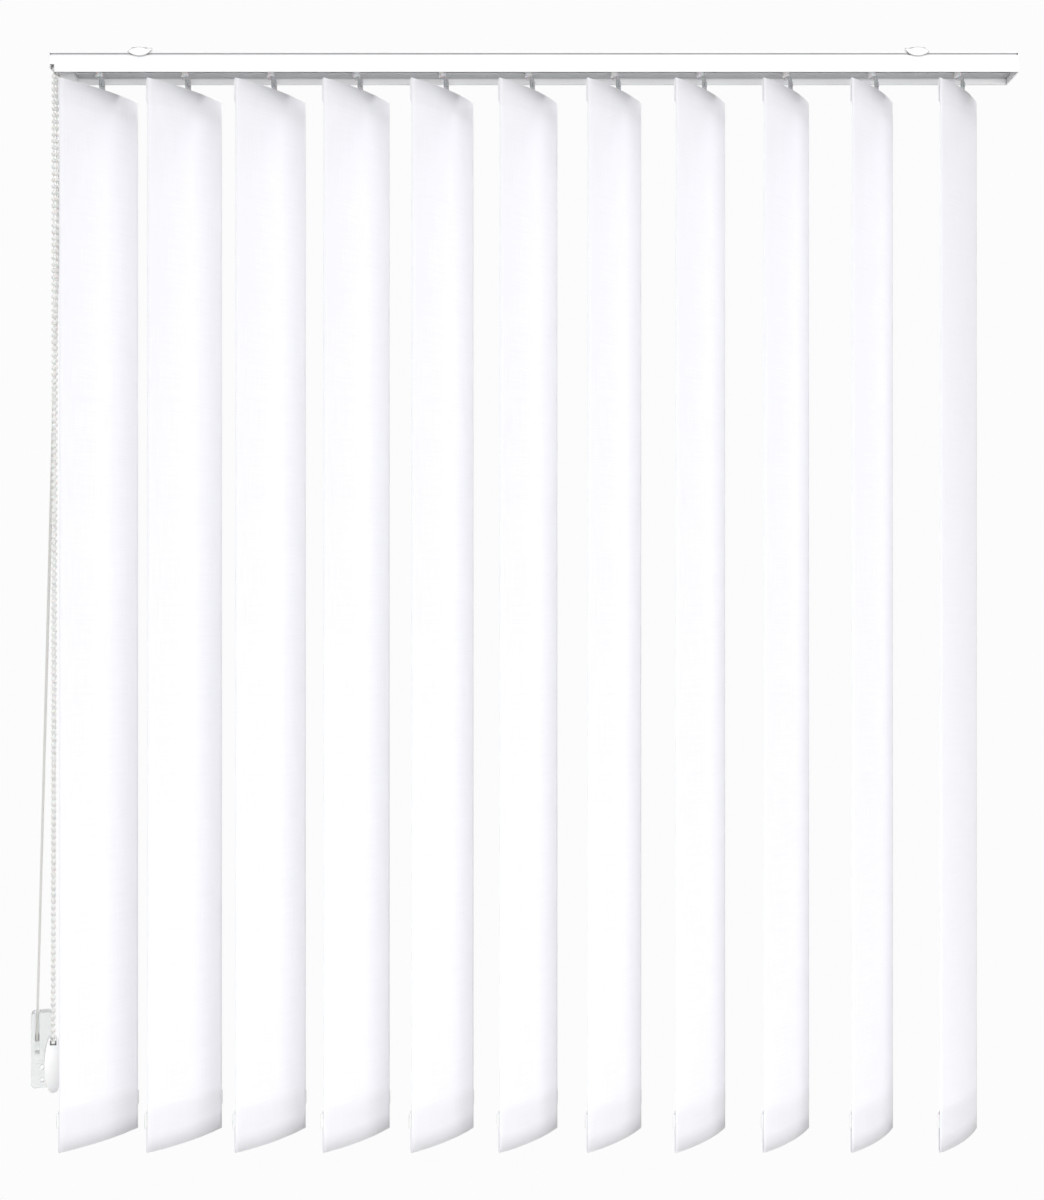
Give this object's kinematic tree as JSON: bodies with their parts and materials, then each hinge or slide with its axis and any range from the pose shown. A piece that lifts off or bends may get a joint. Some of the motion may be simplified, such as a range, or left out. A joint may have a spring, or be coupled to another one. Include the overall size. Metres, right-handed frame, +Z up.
{
  "type": "vertical blind",
  "caption": "Vertical blind: white cloth slats hang from carriers in a ceiling rail, drawn by a cord and turned by a ball chain",
  "frame": {"origin": "on the ceiling plane, midway between the two screw holes of the mounting clips", "axes": "+X along the rail away from the control end, +Y away from the room towards the window, +Z up"},
  "size_m": [0.9204, 0.0746, 1.011],
  "materials": {
    "white_coated_aluminium": "white powder coat, semi-gloss",
    "white_moulding": "injection moulded, satin",
    "mill_aluminium": "extruded, mill finish",
    "natural_moulding": "injection moulded, natural colour",
    "white_polyester_cloth": "resin-stiffened plain weave",
    "white_polyester_cord": "braided",
    "white_bead_chain": "moulded balls on a cord",
    "clear_moulding": "injection moulded, clear",
    "grey_acetal": "injection moulded"
  },
  "bodies": {
    "rail": {"headrail": "white_coated_aluminium", "control_end_cap": "white_moulding", "idle_end_cap": "white_moulding", "mounting_clips": "white_moulding", "rail_cord": "white_polyester_cord", "hanging_cord": "white_polyester_cord", "bead_chain": "white_bead_chain", "chain_weight": "white_moulding", "cord_tensioner": "clear_moulding", "carrier_01": "grey_acetal"},
    "travelling_carrier_02": {"carrier_02": "grey_acetal"},
    "travelling_carrier_03": {"carrier_03": "grey_acetal"},
    "travelling_carrier_04": {"carrier_04": "grey_acetal"},
    "travelling_carrier_05": {"carrier_05": "grey_acetal"},
    "travelling_carrier_06": {"carrier_06": "grey_acetal"},
    "travelling_carrier_07": {"carrier_07": "grey_acetal"},
    "travelling_carrier_08": {"carrier_08": "grey_acetal"},
    "travelling_carrier_09": {"carrier_09": "grey_acetal"},
    "travelling_carrier_10": {"carrier_10": "grey_acetal"},
    "travelling_carrier_11": {"carrier_11": "grey_acetal"},
    "hung_slat_01": {"stem_01": "natural_moulding", "slat_01": "white_polyester_cloth", "weight_01": "white_moulding"},
    "hung_slat_02": {"stem_02": "natural_moulding", "slat_02": "white_polyester_cloth", "weight_02": "white_moulding"},
    "hung_slat_03": {"stem_03": "natural_moulding", "slat_03": "white_polyester_cloth", "weight_03": "white_moulding"},
    "hung_slat_04": {"stem_04": "natural_moulding", "slat_04": "white_polyester_cloth", "weight_04": "white_moulding"},
    "hung_slat_05": {"stem_05": "natural_moulding", "slat_05": "white_polyester_cloth", "weight_05": "white_moulding"},
    "hung_slat_06": {"stem_06": "natural_moulding", "slat_06": "white_polyester_cloth", "weight_06": "white_moulding"},
    "hung_slat_07": {"stem_07": "natural_moulding", "slat_07": "white_polyester_cloth", "weight_07": "white_moulding"},
    "hung_slat_08": {"stem_08": "natural_moulding", "slat_08": "white_polyester_cloth", "weight_08": "white_moulding"},
    "hung_slat_09": {"stem_09": "natural_moulding", "slat_09": "white_polyester_cloth", "weight_09": "white_moulding"},
    "hung_slat_10": {"stem_10": "natural_moulding", "slat_10": "white_polyester_cloth", "weight_10": "white_moulding"},
    "hung_slat_11": {"stem_11": "natural_moulding", "slat_11": "white_polyester_cloth", "weight_11": "white_moulding"},
    "tilt_shaft": {"tilt_rod": "mill_aluminium", "chain_sprocket": "grey_acetal"},
    "cord_pulley_front": {"cord_pulley_front": "grey_acetal"},
    "cord_pulley_back": {"cord_pulley_back": "grey_acetal"},
    "return_pulley": {"return_pulley": "grey_acetal"},
    "tensioner_wheel": {"tensioner_wheel": "grey_acetal"},
    "chain_weight_wheel": {"chain_weight_wheel": "grey_acetal"}
  },
  "joints": [
    {"name": "traverse_02", "type": "slide", "parent": "rail", "child": "travelling_carrier_02", "axis": [1, 0, 0], "range_m": [-0.064, 0]},
    {"name": "traverse_03", "type": "slide", "parent": "rail", "child": "travelling_carrier_03", "axis": [1, 0, 0], "range_m": [-0.128, 0]},
    {"name": "traverse_04", "type": "slide", "parent": "rail", "child": "travelling_carrier_04", "axis": [1, 0, 0], "range_m": [-0.192, 0]},
    {"name": "traverse_05", "type": "slide", "parent": "rail", "child": "travelling_carrier_05", "axis": [1, 0, 0], "range_m": [-0.256, 0]},
    {"name": "traverse_06", "type": "slide", "parent": "rail", "child": "travelling_carrier_06", "axis": [1, 0, 0], "range_m": [-0.32, 0]},
    {"name": "traverse_07", "type": "slide", "parent": "rail", "child": "travelling_carrier_07", "axis": [1, 0, 0], "range_m": [-0.384, 0]},
    {"name": "traverse_08", "type": "slide", "parent": "rail", "child": "travelling_carrier_08", "axis": [1, 0, 0], "range_m": [-0.448, 0]},
    {"name": "traverse_09", "type": "slide", "parent": "rail", "child": "travelling_carrier_09", "axis": [1, 0, 0], "range_m": [-0.512, 0]},
    {"name": "traverse_10", "type": "slide", "parent": "rail", "child": "travelling_carrier_10", "axis": [1, 0, 0], "range_m": [-0.576, 0]},
    {"name": "traverse_11", "type": "slide", "parent": "rail", "child": "travelling_carrier_11", "axis": [1, 0, 0], "range_m": [-0.64, 0]},
    {"name": "tilt_01", "type": "hinge", "parent": "rail", "child": "hung_slat_01", "pos_m": [-0.4, 0, 0], "axis": [0, 0, 1], "range_deg": [-22.7, 97.3]},
    {"name": "tilt_02", "type": "hinge", "parent": "travelling_carrier_02", "child": "hung_slat_02", "pos_m": [-0.32, 0, 0], "axis": [0, 0, 1], "range_deg": [-22.7, 97.3]},
    {"name": "tilt_03", "type": "hinge", "parent": "travelling_carrier_03", "child": "hung_slat_03", "pos_m": [-0.24, 0, 0], "axis": [0, 0, 1], "range_deg": [-22.7, 97.3]},
    {"name": "tilt_04", "type": "hinge", "parent": "travelling_carrier_04", "child": "hung_slat_04", "pos_m": [-0.16, 0, 0], "axis": [0, 0, 1], "range_deg": [-22.7, 97.3]},
    {"name": "tilt_05", "type": "hinge", "parent": "travelling_carrier_05", "child": "hung_slat_05", "pos_m": [-0.08, 0, 0], "axis": [0, 0, 1], "range_deg": [-22.7, 97.3]},
    {"name": "tilt_06", "type": "hinge", "parent": "travelling_carrier_06", "child": "hung_slat_06", "pos_m": [0, 0, 0], "axis": [0, 0, 1], "range_deg": [-22.7, 97.3]},
    {"name": "tilt_07", "type": "hinge", "parent": "travelling_carrier_07", "child": "hung_slat_07", "pos_m": [0.08, 0, 0], "axis": [0, 0, 1], "range_deg": [-22.7, 97.3]},
    {"name": "tilt_08", "type": "hinge", "parent": "travelling_carrier_08", "child": "hung_slat_08", "pos_m": [0.16, 0, 0], "axis": [0, 0, 1], "range_deg": [-22.7, 97.3]},
    {"name": "tilt_09", "type": "hinge", "parent": "travelling_carrier_09", "child": "hung_slat_09", "pos_m": [0.24, 0, 0], "axis": [0, 0, 1], "range_deg": [-22.7, 97.3]},
    {"name": "tilt_10", "type": "hinge", "parent": "travelling_carrier_10", "child": "hung_slat_10", "pos_m": [0.32, 0, 0], "axis": [0, 0, 1], "range_deg": [-22.7, 97.3]},
    {"name": "tilt_11", "type": "hinge", "parent": "travelling_carrier_11", "child": "hung_slat_11", "pos_m": [0.4, 0, 0], "axis": [0, 0, 1], "range_deg": [-22.7, 97.3]},
    {"name": "rod_spin", "type": "hinge", "parent": "rail", "child": "tilt_shaft", "pos_m": [0, -0.0068, -0.0123], "axis": [1, 0, 0], "range_deg": [-273.4, 1168.6]},
    {"name": "chain_wheel_spin", "type": "hinge", "parent": "rail", "child": "chain_weight_wheel", "pos_m": [-0.4407, -0.0068, -0.93], "axis": [0.9511, 0.309, 0], "range_deg": [-273.4, 1168.6]},
    {"name": "front_pulley_spin", "type": "hinge", "parent": "rail", "child": "cord_pulley_front", "pos_m": [-0.4321, 0.0082, -0.0137], "axis": [0, 1, 0], "range_deg": [-6687.1, 0]},
    {"name": "back_pulley_spin", "type": "hinge", "parent": "rail", "child": "cord_pulley_back", "pos_m": [-0.4329, 0.0148, -0.0137], "axis": [0, 1, 0], "range_deg": [0, 6687.1]},
    {"name": "return_pulley_spin", "type": "hinge", "parent": "rail", "child": "return_pulley", "pos_m": [0.441, 0.0115, -0.0082], "axis": [0, 0, 1], "range_deg": [-11131.9, 0]},
    {"name": "tensioner_wheel_spin", "type": "hinge", "parent": "rail", "child": "tensioner_wheel", "pos_m": [-0.4612, 0.0115, -0.9185], "axis": [0.9511, 0.309, 0], "range_deg": [0, 11131.9]}
  ],
  "couplings": [
    {"joint": "traverse_02", "follows": "traverse_11", "ratio": 0.1},
    {"joint": "traverse_03", "follows": "traverse_11", "ratio": 0.2},
    {"joint": "traverse_04", "follows": "traverse_11", "ratio": 0.3},
    {"joint": "traverse_05", "follows": "traverse_11", "ratio": 0.4},
    {"joint": "traverse_06", "follows": "traverse_11", "ratio": 0.5},
    {"joint": "traverse_07", "follows": "traverse_11", "ratio": 0.6},
    {"joint": "traverse_08", "follows": "traverse_11", "ratio": 0.7},
    {"joint": "traverse_09", "follows": "traverse_11", "ratio": 0.8},
    {"joint": "traverse_10", "follows": "traverse_11", "ratio": 0.9},
    {"joint": "tilt_01", "follows": "tilt_11", "ratio": 1},
    {"joint": "tilt_02", "follows": "tilt_11", "ratio": 1},
    {"joint": "tilt_03", "follows": "tilt_11", "ratio": 1},
    {"joint": "tilt_04", "follows": "tilt_11", "ratio": 1},
    {"joint": "tilt_05", "follows": "tilt_11", "ratio": 1},
    {"joint": "tilt_06", "follows": "tilt_11", "ratio": 1},
    {"joint": "tilt_07", "follows": "tilt_11", "ratio": 1},
    {"joint": "tilt_08", "follows": "tilt_11", "ratio": 1},
    {"joint": "tilt_09", "follows": "tilt_11", "ratio": 1},
    {"joint": "tilt_10", "follows": "tilt_11", "ratio": 1},
    {"joint": "rod_spin", "follows": "tilt_11", "ratio": 12},
    {"joint": "chain_wheel_spin", "follows": "tilt_11", "ratio": 12},
    {"joint": "front_pulley_spin", "follows": "traverse_11", "rad_per_m": 181.82},
    {"joint": "back_pulley_spin", "follows": "traverse_11", "rad_per_m": -181.82},
    {"joint": "return_pulley_spin", "follows": "traverse_11", "rad_per_m": 303.03},
    {"joint": "tensioner_wheel_spin", "follows": "traverse_11", "rad_per_m": -303.03}
  ]
}
